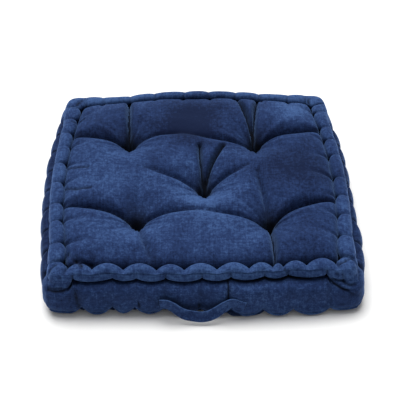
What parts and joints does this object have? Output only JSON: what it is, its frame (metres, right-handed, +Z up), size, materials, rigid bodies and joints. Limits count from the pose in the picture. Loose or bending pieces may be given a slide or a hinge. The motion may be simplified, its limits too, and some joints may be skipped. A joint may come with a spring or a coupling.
{
  "type": "floor pillow",
  "caption": "Square tufted floor pillow in velvet with a hand stitched rolled edge, a boxed side and a cloth carry strap at the front.",
  "frame": {"origin": "middle of the flat underside, at floor level", "axes": "+Z up, +X to the right and +Y to the back, with the carry strap at the front towards -Y"},
  "size_m": [0.6469, 0.6468, 0.1146],
  "materials": {
    "velvet": "navy cotton velvet, short cut pile, soft sheen",
    "strap_velvet": "the same velvet, folded and top stitched flat"
  },
  "bodies": {
    "root": {"pillow": "velvet", "carry_strap": "strap_velvet"}
  },
  "joints": []
}
